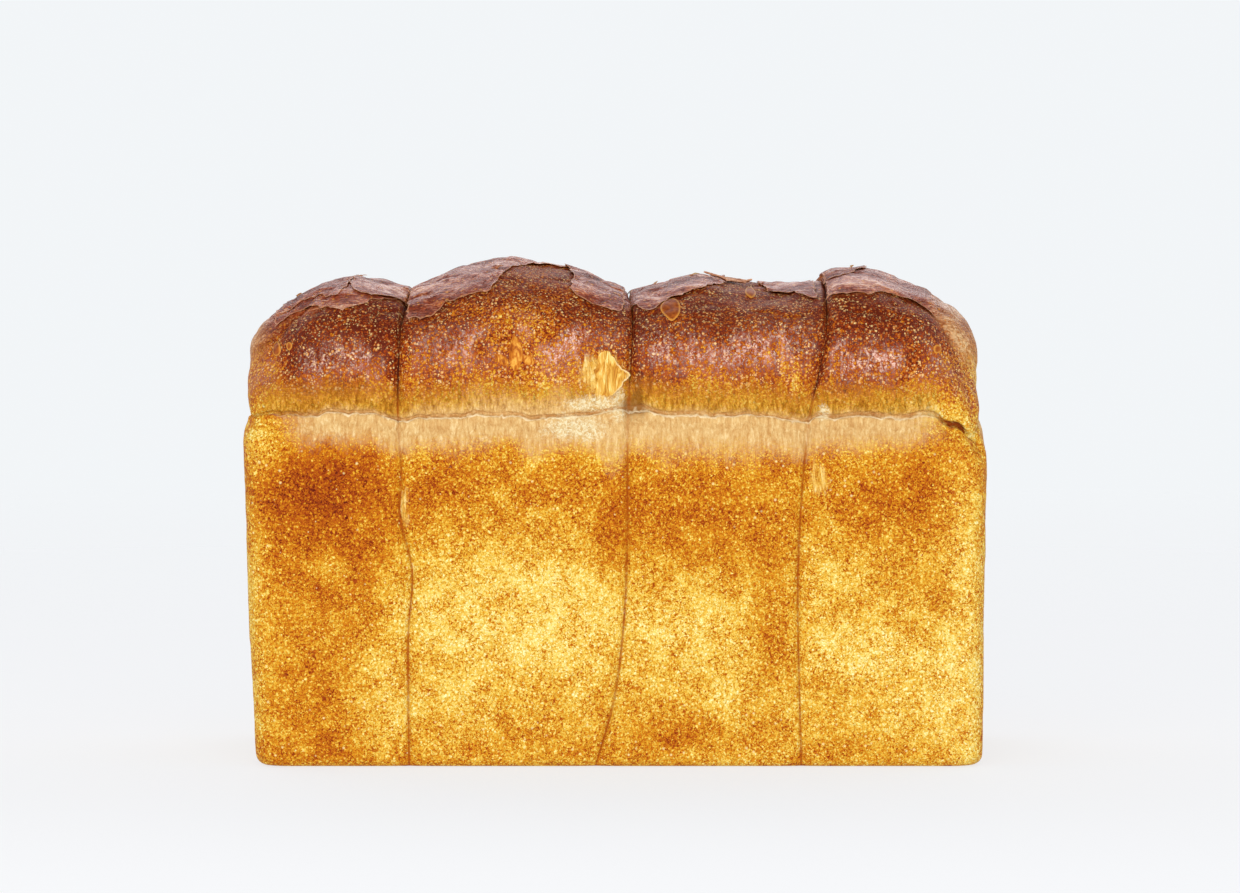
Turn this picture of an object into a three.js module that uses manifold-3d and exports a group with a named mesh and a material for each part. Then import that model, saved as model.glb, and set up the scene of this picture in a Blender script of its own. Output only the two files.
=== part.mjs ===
// A tin loaf with four crowns: white bread baked from four balls of dough that stood side by side in a
// long, open tin. Below the rim of the tin the balls were pressed into one block with thin seams between
// them. Above it they rose free, as four crowns, with a crease all round where they left the tin.
// The loaf is one closed solid, in millimetres, with +Z up. X runs along the loaf, its front faces -Y, and
// the origin is the middle of the flat base.
import * as THREE from "three";
import { mergeVertices } from "three/addons/utils/BufferGeometryUtils.js";
import Module from "manifold-3d";

// The block that the tin formed.
const LENGTH = 250;
const DEPTH = 122;
const RIM = 118.5; // height of the tin's rim
const TAPER = 2.7; // how much each wall stands in at the base
const FOOT_RADIUS = 4; // rounding between the walls and the base
const BLOCK_CORNER = 7; // radius of the upright corners below the rim
const LEAN = 1.6; // how far the base has slid towards +X under the rest

// The crease at the rim: the shoulder below it rolls in, and the crowns tuck under above it.
const SHOULDER = 11; // height of the roll below the crease
const TUCK = 20; // height of the tucked underside above the crease
const CREASE_DEPTH = 3.2;
const BELLY_INSET = 0.5; // how far the widest part of the crowns stays inside the block
const CORNER_DROP = 5; // how much lower the crease runs at the upright corners

// The free crowns.
const BELLY = 139; // height at which the crowns are widest
const CROWN_CORNER = 26; // radius of the upright corners of the row of crowns
const CROWN_ARCH = 2.3; // exponent of the arch across the loaf, 2 being an ellipse
const END_ROLL = 1.5; // exponent of the roll at both ends of the loaf
const FLANK = 0.85; // under 1 for a crown whose flanks are full right down to the seams
const CROWN_BULGE = 2.2; // how far the middle of a crown's wall stands out past its sides
const CRESTS = [
  { x: -88, z: 162.5 },
  { x: -33, z: 169.5 },
  { x: 30, z: 163.5 },
  { x: 86, z: 167 },
];

// The seams between neighbouring balls. A seam crosses the top in a valley, bowed by `bow`, and wanders
// down the front as [height, x]. Down the back it strays the other way, by BACK_STRAY of that.
const SEAMS = [
  { valley: 160.5, bow: 1.5, front: [[0, -69], [55, -69], [85, -71.5], [119, -71.5], [160, -71.5]] },
  { valley: 158.2, bow: -2, front: [[0, -8], [25, -1], [60, 3], [119, 4.5], [158, 7]] },
  { valley: 162, bow: 1, front: [[0, 61], [60, 60.5], [95, 62.5], [119, 65.5], [143, 70.5], [162, 71]] },
];
const BACK_STRAY = -0.7;
const TURN_IN = { block: 1.2, crowns: 4.5 }; // how far the walls turn in beside a seam
const TURN_REACH = { block: 2.6, crowns: 6 }; // and over what distance
const GROOVE = { depth: 1.5, reach: 1.2 }; // the sharp line along the middle of a seam

// A shallow hollow on the front, where the skin tore open at the middle seam.
const TEAR = { seam: 1, z: 113, halfWidth: 7, halfHeight: 17, depth: 1.8 };

// Unevenness of the baked dough: each size is the spacing of its hills.
const LUMPS = { size: 24, block: 0.5, crowns: 1.3 };
const WRINKLES = { size: 9, block: 0.15, crowns: 0.6 };

// Dry skin on the crowns: a ragged sheet over each, and small flakes that curl up.
const SKIN = { share: 0.44, end: 114, halfDepth: 48, thickness: 0.8, spokes: 26, rings: 3, ragged: 0.16 };
const FLAKES = { perCrown: 4, radius: 5, curl: 1.8, thickness: 0.8, spokes: 6 };
const ROOT = 2.5; // how deep sheets and flakes reach into the bread

// The grid that the block and crowns are drawn with.
const BALL_COLUMNS = [9, 11, 10, 9];
const DEPTH_COLUMNS = 18;
const ROWS = { foot: 2, block: 10, shoulder: 4, tuck: 4, belly: 3 };

const { clamp, lerp, smoothstep } = THREE.MathUtils;
const lastSeam = SEAMS.length - 1;

// ---- repeatable randomness ------------------------------------------------------------------------

// A number from 0 to 1 that depends only on three whole numbers.
function scatter(i, j, k) {
  const s = Math.sin(i * 127.1 + j * 311.7 + k * 74.7) * 43758.5453;
  return s - Math.floor(s);
}

// Smooth noise from -1 to 1 with hills about `size` apart.
function noise({ x, y, z }, size) {
  const cell = [x, y, z].map((t) => Math.floor(t / size));
  const [a, b, c] = [x, y, z].map((t, n) => smoothstep(t / size - cell[n], 0, 1));
  const [i, j, k] = cell;
  const edge = (dj, dk) => lerp(scatter(i, j + dj, k + dk), scatter(i + 1, j + dj, k + dk), a);
  return 2 * lerp(lerp(edge(0, 0), edge(1, 0), b), lerp(edge(0, 1), edge(1, 1), b), c) - 1;
}

// ---- seams and crowns -----------------------------------------------------------------------------

// A smooth line through [height, x] points, read at a height.
function wander(points, z) {
  const last = points.length - 1;
  let i = 0;
  while (i < last - 1 && z > points[i + 1][0]) i++;
  const [[z0, x0], [z1, x1]] = [points[i], points[i + 1]];
  const slope = (a, b) => (points[b][1] - points[a][1]) / (points[b][0] - points[a][0]);
  const s0 = slope(Math.max(i - 1, 0), i + 1) * (z1 - z0);
  const s1 = slope(i, Math.min(i + 2, last)) * (z1 - z0);
  const t = clamp((z - z0) / (z1 - z0), 0, 1);
  const ease = t * t * (3 - 2 * t);
  return lerp(x0, x1, ease) + t * (1 - t) * ((1 - t) * s0 - t * s1);
}

// Where seam k runs at height z, from the front (v = -1) to the back (v = 1).
function seamX(k, z, v) {
  const { front, bow } = SEAMS[k];
  const top = front[front.length - 1][1];
  const atFront = wander(front, z);
  const atBack = top + BACK_STRAY * (atFront - top);
  return lerp(atFront, atBack, (v + 1) / 2) + bow * (1 - v * v);
}

// The arch of the crowns across the loaf: 0 at the walls, 1 in the middle.
const arch = (v) => Math.max(1 - Math.abs(v) ** CROWN_ARCH, 0) ** (1 / CROWN_ARCH);

// Where seam k runs on the top.
const seamOnTop = (k, v) => seamX(k, lerp(BELLY, SEAMS[k].valley, arch(v)), v);

// Height of the ridge along the top of the four crowns. At both ends of the loaf it rises straight up from
// the belly, and at each seam it meets itself in a notch.
function ridge(ball, share, v, halfLength) {
  const crest = CRESTS[ball];
  const from = ball === 0 ? -halfLength : seamOnTop(ball - 1, v);
  const to = ball > lastSeam ? halfLength : seamOnTop(ball, v);
  const x = lerp(from, to, share);
  const seam = x < crest.x ? ball - 1 : ball;
  const rise = x < crest.x ? (x - from) / (crest.x - from) : (to - x) / (to - crest.x);
  if (seam < 0 || seam > lastSeam) return lerp(BELLY, crest.z, Math.sqrt(1 - (1 - rise) ** END_ROLL));
  return lerp(SEAMS[seam].valley, crest.z, Math.sin((rise ** FLANK * Math.PI) / 2));
}

// ---- the walls ------------------------------------------------------------------------------------

// Height of the crease at the rim. It ripples round the loaf and drops towards the upright corners.
function creaseHeight(x, y) {
  const ripple = 0.9 * Math.sin(x / 17 + 1.2) + 0.6 * Math.sin(x / 6.3 + y) + 0.8 * Math.sin(y / 14 + 2);
  const corner = smoothstep(Math.abs(x), 0.38 * LENGTH, LENGTH / 2) * smoothstep(Math.abs(y), 40, DEPTH / 2);
  return RIM + ripple - CORNER_DROP * corner;
}

// How far a wall stands inside the block's widest outline at a height.
function wallInset(z, crease) {
  let inset = TAPER * clamp(1 - z / RIM, 0, 1);
  if (z < FOOT_RADIUS) inset += FOOT_RADIUS - Math.sqrt(FOOT_RADIUS ** 2 - (FOOT_RADIUS - z) ** 2);
  const above = z - crease;
  if (above < 0) return inset + CREASE_DEPTH * clamp(1 + above / SHOULDER, 0, 1) ** 2.4;
  return inset + lerp(CREASE_DEPTH, BELLY_INSET, Math.sin((clamp(above / TUCK, 0, 1) * Math.PI) / 2));
}

// Rounds the upright corners of a rectangle of half sizes hx and hy, and everything inside it alike.
function roundCorner(x, y, hx, hy, radius) {
  const [ix, iy] = [clamp(x, radius - hx, hx - radius), clamp(y, radius - hy, hy - radius)];
  const [ox, oy] = [x - ix, y - iy];
  const reach = Math.hypot(ox, oy);
  if (reach === 0) return [x, y];
  const scale = Math.max(Math.abs(ox), Math.abs(oy)) / reach;
  return [ix + ox * scale, iy + oy * scale];
}

// A point of the loaf: `share` runs along one ball from 0 to 1, v across the loaf from -1 to 1, z is the
// height on the walls, and `side` says whether the point is on a wall, the base or the top.
function place({ ball, share, v, z, side }) {
  const firm = 1 - smoothstep(z, RIM, BELLY); // 1 on the block, 0 on the crowns
  const along = lerp(-LENGTH / 2, LENGTH / 2, (ball + share) / CRESTS.length);
  const crease = creaseHeight(along, (v * DEPTH) / 2);
  const height = z + (crease - RIM) * (1 - smoothstep(Math.abs(z - RIM), 4, TUCK));
  const inset = wallInset(height, crease);
  const bulge = CROWN_BULGE * (1 - firm);
  const hx = LENGTH / 2 - inset - bulge * v * v;
  const seamAt = (k) => (side === "top" ? seamOnTop(k, v) : seamX(k, height, v));
  const from = ball === 0 ? -hx : seamAt(ball - 1);
  const to = ball > lastSeam ? hx : seamAt(ball);
  const straight = lerp(from, to, share);
  const near = Math.min(...SEAMS.map((_, k) => Math.abs(straight - seamAt(k))));
  const blend = ({ block, crowns }) => lerp(crowns, block, firm);
  const turn = blend(TURN_IN) * Math.exp(-near / blend(TURN_REACH));
  const hy = DEPTH / 2 - inset - turn - bulge * (2 * share - 1) ** 2;
  const radius = lerp(CROWN_CORNER, BLOCK_CORNER, firm);
  const [x, y] = roundCorner(straight, v * hy, hx, hy, radius);
  if (side === "top") return new THREE.Vector3(x, y, lerp(BELLY, ridge(ball, share, v, hx), arch(v)));
  const lean = LEAN * clamp(1 - z / RIM, 0, 1);
  return new THREE.Vector3(x + lean, y, side === "base" ? 0 : height);
}

// ---- the block and crowns -------------------------------------------------------------------------

// n + 1 places from 0 to 1 that crowd towards both ends.
const crowd = (n) => Array.from({ length: n + 1 }, (_, i) => (1 - Math.cos((Math.PI * i) / n)) / 2);

// n places above `from`, up to and including `to`. A bend over 1 crowds them towards `from`.
const climb = (from, to, n, bend = 1) =>
  Array.from({ length: n }, (_, i) => lerp(from, to, ((i + 1) / n) ** bend));

const columns = BALL_COLUMNS.flatMap((n, ball) =>
  crowd(n).slice(ball === 0 ? 0 : 1).map((share) => ({ ball, share })),
);
const depths = crowd(DEPTH_COLUMNS).map((t) => 2 * t - 1);
const heights = [
  0,
  ...climb(0, FOOT_RADIUS, ROWS.foot, 2),
  ...climb(FOOT_RADIUS, RIM - SHOULDER, ROWS.block),
  ...climb(RIM - SHOULDER, RIM, ROWS.shoulder, 0.6),
  ...climb(RIM, RIM + TUCK / 2, ROWS.tuck, 1.6),
  ...climb(RIM + TUCK / 2, BELLY, ROWS.belly),
];

// How far the skin stands in or out at a point: lumps and wrinkles, less the seams' grooves and the tear.
function relief(p) {
  const free = smoothstep(p.z, RIM, BELLY);
  const v = clamp(p.y / (DEPTH / 2), -1, 1);
  const near = Math.min(...SEAMS.map((_, k) => Math.abs(p.x - seamX(k, p.z, v))));
  const groove = GROOVE.depth * Math.exp(-near / GROOVE.reach);
  const lumps = lerp(LUMPS.block, LUMPS.crowns, free) * noise(p, LUMPS.size);
  const wrinkles = lerp(WRINKLES.block, WRINKLES.crowns, free) * noise(p, WRINKLES.size);
  const [tx, tz] = [(p.x - seamX(TEAR.seam, TEAR.z, -1)) / TEAR.halfWidth, (p.z - TEAR.z) / TEAR.halfHeight];
  const torn = p.y < 0 ? TEAR.depth * Math.max(1 - Math.hypot(tx, tz), 0) : 0;
  return lumps + wrinkles - groove - torn;
}

// A box of grid squares whose corners are all moved to their place on the loaf. Its skin is then moved
// along its normals by the relief, which fades out at the foot, so that the base stays flat.
function bread() {
  const [nx, ny, nz] = [columns.length - 1, depths.length - 1, heights.length - 1];
  const box = new THREE.BoxGeometry(nx, ny, nz, nx, ny, nz);
  box.deleteAttribute("normal");
  box.deleteAttribute("uv");
  const corners = box.attributes.position;
  for (let i = 0; i < corners.count; i++) {
    const column = Math.round(corners.getX(i) + nx / 2);
    const across = Math.round(corners.getY(i) + ny / 2);
    const row = Math.round(corners.getZ(i) + nz / 2);
    const onWall = column === 0 || column === nx || across === 0 || across === ny;
    const side = onWall ? "wall" : row === 0 ? "base" : "top";
    const at = place({ ...columns[column], v: depths[across], z: heights[row], side });
    corners.setXYZ(i, at.x, at.y, at.z);
  }
  const skin = mergeVertices(box, 1e-3);
  skin.computeVertexNormals();
  const points = skin.attributes.position;
  const p = new THREE.Vector3();
  const n = new THREE.Vector3();
  for (let i = 0; i < points.count; i++) {
    p.fromBufferAttribute(points, i);
    n.fromBufferAttribute(skin.attributes.normal, i);
    if (p.z === 0) continue;
    p.addScaledVector(n, smoothstep(p.z, 0, FOOT_RADIUS) * relief(p));
    points.setXYZ(i, p.x, p.y, p.z);
  }
  return skin;
}

// ---- sheets and flakes of dry skin ----------------------------------------------------------------

// A thin closed patch that follows the top of the bread. It is drawn as rings round its middle, `reach`
// gives the length of each spoke as [x, y], and `over` how far the upper side stands above the bread at
// each point of a spoke. The lower side lies `thickness` below that or ROOT deep in the bread, as `loose`
// runs from 1 to 0.
function patch(heightAt, middle, spokes, rings, reach, over, thickness, loose) {
  const upper = [];
  const lower = [];
  for (let ring = 0; ring <= rings; ring++)
    for (let spoke = 0; spoke < (ring === 0 ? 1 : spokes); spoke++) {
      const share = ring / rings;
      const [rx, ry] = reach(spoke);
      const [x, y] = [middle.x + rx * share, middle.y + ry * share];
      const ground = heightAt(x, y);
      const top = ground + over(spoke, share);
      upper.push(x, y, top);
      lower.push(x, y, lerp(ground - ROOT, top - thickness, loose(spoke, share)));
    }
  const count = upper.length / 3;
  const at = (ring, spoke) => (ring === 0 ? 0 : 1 + (ring - 1) * spokes + (spoke % spokes));
  const faces = [];
  for (let spoke = 0; spoke < spokes; spoke++) {
    const face = (a, b, c) => faces.push(a, b, c, count + a, count + c, count + b);
    face(0, at(1, spoke), at(1, spoke + 1));
    for (let ring = 1; ring < rings; ring++) {
      face(at(ring, spoke), at(ring + 1, spoke), at(ring + 1, spoke + 1));
      face(at(ring, spoke), at(ring + 1, spoke + 1), at(ring, spoke + 1));
    }
    const [a, b] = [at(rings, spoke), at(rings, spoke + 1)];
    faces.push(a, count + a, count + b, a, count + b, b);
  }
  const geometry = new THREE.BufferGeometry();
  geometry.setAttribute("position", new THREE.Float32BufferAttribute([...upper, ...lower], 3));
  geometry.setIndex(faces);
  return geometry;
}

// The ragged sheet of skin over one crown.
function skinSheet(heightAt, ball) {
  const from = ball === 0 ? -SKIN.end : seamOnTop(ball - 1, 0);
  const to = ball > lastSeam ? SKIN.end : seamOnTop(ball, 0);
  const halfWidth = SKIN.share * (to - from);
  const reach = (spoke) => {
    const angle = (2 * Math.PI * spoke) / SKIN.spokes;
    const uneven = 1 - SKIN.ragged * (scatter(spoke, ball, 5) + scatter(Math.floor(spoke / 3), ball, 6)) / 2;
    const square = 1 / (Math.abs(Math.cos(angle)) ** 4 + Math.abs(Math.sin(angle)) ** 4) ** 0.25;
    const size = uneven * square;
    return [halfWidth * size * Math.cos(angle), SKIN.halfDepth * size * Math.sin(angle)];
  };
  const middle = { x: (from + to) / 2, y: 0 };
  return patch(heightAt, middle, SKIN.spokes, SKIN.rings, reach, () => SKIN.thickness, 0, () => 0);
}

// A flake that is rooted on one side and curls up on the other.
function flake(heightAt, ball, i) {
  const random = (k) => scatter(ball, i, k);
  const middle = {
    x: CRESTS[ball].x + lerp(-18, 18, random(7)),
    y: lerp(-0.36, 0.36, (i + random(8)) / FLAKES.perCrown) * DEPTH,
  };
  const lifted = 2 * Math.PI * random(9);
  const angle = (spoke) => (2 * Math.PI * spoke) / FLAKES.spokes;
  const free = (spoke) => (1 + Math.cos(angle(spoke) - lifted)) / 2;
  const reach = (spoke) => {
    const length = FLAKES.radius * lerp(0.6, 1.2, scatter(spoke, i, ball + 10));
    return [length * Math.cos(angle(spoke)), length * Math.sin(angle(spoke))];
  };
  const over = (spoke, share) => lerp(SKIN.thickness, SKIN.thickness + FLAKES.curl, share * free(spoke));
  const loose = (spoke, share) => share * free(spoke) ** 2;
  return patch(heightAt, middle, FLAKES.spokes, 1, reach, over, FLAKES.thickness, loose);
}

// ---- one solid ------------------------------------------------------------------------------------

const wasm = await Module();
wasm.setup();

function toSolid(geometry) {
  const vertProperties = new Float32Array(geometry.attributes.position.array);
  const triVerts = new Uint32Array(geometry.index.array);
  return new wasm.Manifold(new wasm.Mesh({ numProp: 3, vertProperties, triVerts }));
}

function toGeometry(solid) {
  const { vertProperties, triVerts } = solid.getMesh();
  const geometry = new THREE.BufferGeometry();
  geometry.setAttribute("position", new THREE.BufferAttribute(vertProperties, 3));
  geometry.setIndex(new THREE.BufferAttribute(triVerts, 1));
  return geometry;
}

function loafGeometry() {
  const crumb = bread();
  const target = new THREE.Mesh(crumb);
  const caster = new THREE.Raycaster();
  const down = new THREE.Vector3(0, 0, -1);
  const heightAt = (x, y) => {
    caster.set(new THREE.Vector3(x, y, 2 * BELLY), down);
    return caster.intersectObject(target)[0].point.z;
  };
  let solid = toSolid(crumb);
  CRESTS.forEach((_, ball) => {
    solid = solid.add(toSolid(skinSheet(heightAt, ball)));
    for (let i = 0; i < FLAKES.perCrown; i++) solid = solid.add(toSolid(flake(heightAt, ball, i)));
  });
  const geometry = toGeometry(solid);
  geometry.computeBoundingBox();
  const { min, max } = geometry.boundingBox;
  geometry.translate(-(min.x + max.x) / 2, -(min.y + max.y) / 2, -min.z);
  geometry.computeVertexNormals();
  return geometry;
}

const crust = new THREE.MeshStandardMaterial({ color: 0xc8822a, roughness: 0.6, metalness: 0 });

const loaf = new THREE.Mesh(loafGeometry(), crust);
loaf.name = "loaf";

const group = new THREE.Group();
group.add(loaf);
export default group;
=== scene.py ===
import math

import bpy
import numpy as np
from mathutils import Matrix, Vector
from mathutils.bvhtree import BVHTree


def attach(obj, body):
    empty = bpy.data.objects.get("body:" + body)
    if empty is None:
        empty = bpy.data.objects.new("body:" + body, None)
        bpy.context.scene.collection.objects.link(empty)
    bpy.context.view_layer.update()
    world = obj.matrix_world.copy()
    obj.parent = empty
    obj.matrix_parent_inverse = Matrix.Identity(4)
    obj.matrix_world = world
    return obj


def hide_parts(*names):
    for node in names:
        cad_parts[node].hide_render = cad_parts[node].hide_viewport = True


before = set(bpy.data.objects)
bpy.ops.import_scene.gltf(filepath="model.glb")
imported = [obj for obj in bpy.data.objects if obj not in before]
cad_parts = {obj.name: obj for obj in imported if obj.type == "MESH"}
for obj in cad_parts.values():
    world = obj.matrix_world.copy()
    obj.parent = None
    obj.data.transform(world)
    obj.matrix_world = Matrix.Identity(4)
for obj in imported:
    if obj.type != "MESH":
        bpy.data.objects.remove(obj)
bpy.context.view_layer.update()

mm = 0.001

# ---- Camera, light and floor ----
# A long lens stands level with the crowns, straight in front of the loaf. The room is a plain white dome
# with a large soft lamp and a low one in front, and the floor is a white sheet that fades into the dome.

scene = bpy.context.scene
scene.view_settings.view_transform = "Standard"
scene.view_settings.look = "None"

CAMERA_PLACE = (0.002, -1.45, 0.15)
CAMERA_DIP = 1.75  # how far it looks down, in degrees
camera_data = bpy.data.cameras.new("camera")
camera_data.lens = 121
camera_data.sensor_width = 36
camera = bpy.data.objects.new("camera", camera_data)
scene.collection.objects.link(camera)
camera.location = CAMERA_PLACE
camera.rotation_euler = (math.radians(90 - CAMERA_DIP), 0, 0)
scene.camera = camera

dome = bpy.data.worlds.new("white dome")
scene.world = dome
dome.use_nodes = True


def set_inputs(tree, node, inputs):
    """Gives a node its inputs by name or number: values, or sockets to link."""
    for name, value in dict(inputs).items():
        if isinstance(value, bpy.types.NodeSocket):
            tree.links.new(value, node.inputs[name])
        else:
            node.inputs[name].default_value = value


def add_node(tree, kind, inputs=(), **settings):
    made = tree.nodes.new(kind)
    for name, value in settings.items():
        setattr(made, name, value)
    set_inputs(tree, made, inputs)
    return made


def maths(tree, operation, *values):
    return add_node(tree, "ShaderNodeMath", dict(enumerate(values)), operation=operation).outputs[0]


def times(tree, first, *others):
    for other in others:
        first = maths(tree, "MULTIPLY", first, other)
    return first


def blend(tree, value, low, high, to_low=0.0, to_high=1.0):
    """to_low where the value is low, to_high where it is high, and even between."""
    return add_node(tree, "ShaderNodeMapRange", {
        "Value": value, "From Min": low, "From Max": high, "To Min": to_low, "To Max": to_high,
    }).outputs["Result"]


def mix_colour(tree, share, first, second):
    """The first colour where share is 0, the second where it is 1."""
    return add_node(tree, "ShaderNodeMix", {0: share, 6: first, 7: second}, data_type="RGBA").outputs[2]


sky = dome.node_tree
direction = add_node(sky, "ShaderNodeTexCoord").outputs["Generated"]
axes = add_node(sky, "ShaderNodeSeparateXYZ", {"Vector": direction}).outputs
white = (0.89, 0.915, 0.935, 1)
ceiling = (0.3, 0.3, 0.31, 1)
dome_colour = mix_colour(sky, blend(sky, axes["Z"], 0.5, 0.85), white, ceiling)

# A broad patch of brighter sky stands behind the loaf, above what the camera sees.
glow = (2.4, 2.35, 2.45, 1)
above_view = blend(sky, axes["Z"], 0.14, 0.3)
below_top = blend(sky, axes["Z"], 0.8, 0.55)
behind = blend(sky, axes["Y"], 0.2, 0.6)
dome_colour = mix_colour(sky, times(sky, above_view, below_top, behind), dome_colour, glow)
sky.links.new(dome_colour, sky.nodes["Background"].inputs["Color"])


def add_lamp(name, size, place, target, watts, colour):
    """Hangs a rectangular soft lamp at `place` that faces `target`."""
    lamp = bpy.data.lights.new(name, "AREA")
    lamp.shape = "RECTANGLE"
    lamp.size, lamp.size_y = size
    lamp.energy = watts
    lamp.color = colour
    hung = bpy.data.objects.new(name, lamp)
    scene.collection.objects.link(hung)
    hung.location = place
    hung.visible_camera = False
    hung.rotation_euler = (Vector(target) - Vector(place)).to_track_quat("-Z", "Y").to_euler()


add_lamp("front lamp", (1.5, 0.34), (-0.12, -1.6, 0.42), (0, 0, 0.12), 15.0, (1.0, 0.985, 0.97))
add_lamp("low lamp", (0.9, 0.10), (-0.05, -1.2, 0.075), (0, 0, 0.13), 1.6, (1.0, 0.96, 0.97))


def new_material(name):
    """A material, its tree, its surface shader, and the place on the object for its patterns."""
    material = bpy.data.materials.new(name)
    material.use_nodes = True
    tree = material.node_tree
    place = add_node(tree, "ShaderNodeTexCoord").outputs["Object"]
    return material, tree, tree.nodes["Principled BSDF"], place


def stretch(tree, place, scale, turn=(0, 0, 0)):
    """Draws a pattern out along the axes whose scale is under 1."""
    inputs = {"Vector": place, "Rotation": turn, "Scale": scale}
    return add_node(tree, "ShaderNodeMapping", inputs).outputs["Vector"]


FLOOR_RADIUS = 3
FLOOR_DROP = 0.1 * mm  # keeps the sheet clear of the loaf's base

bpy.ops.object.select_all(action="DESELECT")
bpy.ops.mesh.primitive_circle_add(
    vertices=96, radius=FLOOR_RADIUS, fill_type="NGON", location=(0, 0, -FLOOR_DROP)
)
floor = bpy.context.object
floor.name = "floor"
bpy.ops.object.transform_apply(location=True, rotation=True, scale=True)
sheet, tree, paper, place = new_material("white sheet")
set_inputs(tree, paper, {
    "Base Color": (0.25, 0.25, 0.25, 1), "Roughness": 0.9, "Specular IOR Level": 0,
    "Emission Color": (0.905, 0.92, 0.94, 1), "Emission Strength": 0.75,
})
around = {"Vector": stretch(tree, place, (0.4, 0.4, 0.4))}
nearness = add_node(tree, "ShaderNodeTexGradient", around, gradient_type="SPHERICAL").outputs["Fac"]
clear = add_node(tree, "ShaderNodeBsdfTransparent").outputs["BSDF"]
fade = blend(tree, nearness, 0.75, 0.1)
mixed = add_node(tree, "ShaderNodeMixShader", {0: fade, 1: paper.outputs["BSDF"], 2: clear})
tree.links.new(mixed.outputs["Shader"], tree.nodes["Material Output"].inputs["Surface"])
floor.data.materials.append(sheet)

# ---- The bread ----
# Four balls of dough baked side by side in a long open tin: one block up to the tin's rim, with thin seams
# between the balls, and four free crowns above it. It is carved from one block whose sides are cut into a
# fine net: the net's corners are moved to the loaf's form, and then in and out for lumps, folds and pores.

LENGTH = 250
DEPTH = 122
RIM = 118.5  # height of the tin's rim
TAPER = 2.7  # how much each wall stands in at the base
FOOT_RADIUS = 4
BLOCK_CORNER = 7  # radius of the upright corners below the rim
LEAN = 1.6  # how far the base has slid towards +X under the rest

SHOULDER = 11  # height of the roll below the crease at the rim
TUCK = 14  # height of the tucked underside above it
CREASE_DEPTH = 3.2
SHOULDER_BEND = 2.4  # exponent of the roll, 1 being a straight slope
BELLY_INSET = 0.5
CORNER_DROP = 8  # how much lower the crease runs at the upright corners
GAPE_FROM = (102.5, 40)  # how far out in x and y a torn corner begins
SHUT_GAPE = 0.1  # how far the two closed corners gape

BELLY = 139  # height at which the crowns are widest
CROWN_CORNER = 26
CROWN_ARCH = 2.3  # exponent of the arch across the loaf, 2 being an ellipse
END_ROLL = 1.5
FLANK = 0.85
CROWN_BULGE = 2.2
CREST_X = np.array([-88, -33, 30, 86])
CREST_Z = np.array([162.5, 169.5, 163.5, 167])

VALLEYS = np.array([160.5, 158.2, 162])  # how high each seam runs over the top
BOWS = (1.5, -2, 1)  # how far each seam bows along the loaf on its way to the back
SEAM_LINES = (  # [height, x] down the front
    ((0, -70.5), (34, -70.3), (47, -69.9), (62, -68.4), (70, -69), (84, -72.2), (100, -71.5), (119, -72.5),
     (160, -71.5)),
    ((0, -8), (25, -1), (60, 3), (119, 4.5), (158, 7)),
    ((0, 61), (60, 60.5), (95, 62.5), (119, 65.5), (143, 70.5), (162, 71)),
)
BACK_STRAY = -0.7  # how far a seam strays at the back, as a share of its stray at the front
TURN_IN = (1.2, 1.7)  # how far the walls turn in beside a seam, on the block and on the crowns
TURN_REACH = (2.6, 2.0)

SEAM_OPEN = np.array([0.6, 0.7, 0.3])  # how far each seam stays open under the crests
FOLD_DEPTH = 0.9
FIBRE_DEPTH = 0.32
CRACK_DEPTH = 0.5
SOFT_RELIEF = (  # [depth on the block, depth on the crowns, how far apart, where the pattern starts]
    (0.5, 1.3, 24, 0), (0.15, 0.6, 9, 0), (0.12, 0.18, 2.4, 0), (0, 0.5, 15, 9),
)
CREST_LUMPS = (  # [x, reach, rise]
    (-91, 13, 1.8), (28, 8, 1.3), (52, 9, -1.4), (75, 6, 1.8), (100, 9, -1.8), (-36, 5, 0.8),
)
DENT = (7.5, 121.5, 3.5, 4, 2.2)  # [x, z, reach in x, reach in z, depth], at the second seam
WAIST = (130, 8, 1.4)  # [z, reach, depth] of the narrow place at the right end of the crowns

# The net: columns along each ball, and how many times each edge is cut in two rounds.
BALL_COLUMNS = (48, 62, 56, 50)
COLUMN_CUTS = (12, 18)
DEPTH_CUTS = (8, 13)
ROW_CUTS = (9, 12)


def lerp(a, b, t):
    return a + (b - a) * t


def smooth(t, low, high):
    """0 below low and 1 above high, with a smooth step between."""
    t = np.clip((t - low) / (high - low), 0, 1)
    return t * t * (3 - 2 * t)


def bell(t, middle, reach):
    """1 at the middle, falling away on both sides over about the reach."""
    return np.exp(-(((t - middle) / reach) ** 2))


def scatter(i, j, k):
    """A repeatable number from 0 to 1 for each three whole numbers."""
    s = np.sin(i * 127.1 + j * 311.7 + k * 74.7) * 43758.5453
    return s - np.floor(s)


def noise(points, size):
    """Smooth noise from -1 to 1 with hills about `size` apart. `size` may differ along X, Y and Z."""
    scaled = points / size
    cell = np.floor(scaled)
    i, j, k = cell.T
    a, b, c = smooth(scaled - cell, 0, 1).T

    def edge(dj, dk):
        return lerp(scatter(i, j + dj, k + dk), scatter(i + 1, j + dj, k + dk), a)

    return 2 * lerp(lerp(edge(0, 0), edge(1, 0), b), lerp(edge(0, 1), edge(1, 1), b), c) - 1


def winding_lines(points, size, sharpness):
    """Thin winding lines of height 1."""
    return (1 - np.abs(noise(points, size))) ** sharpness


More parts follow.
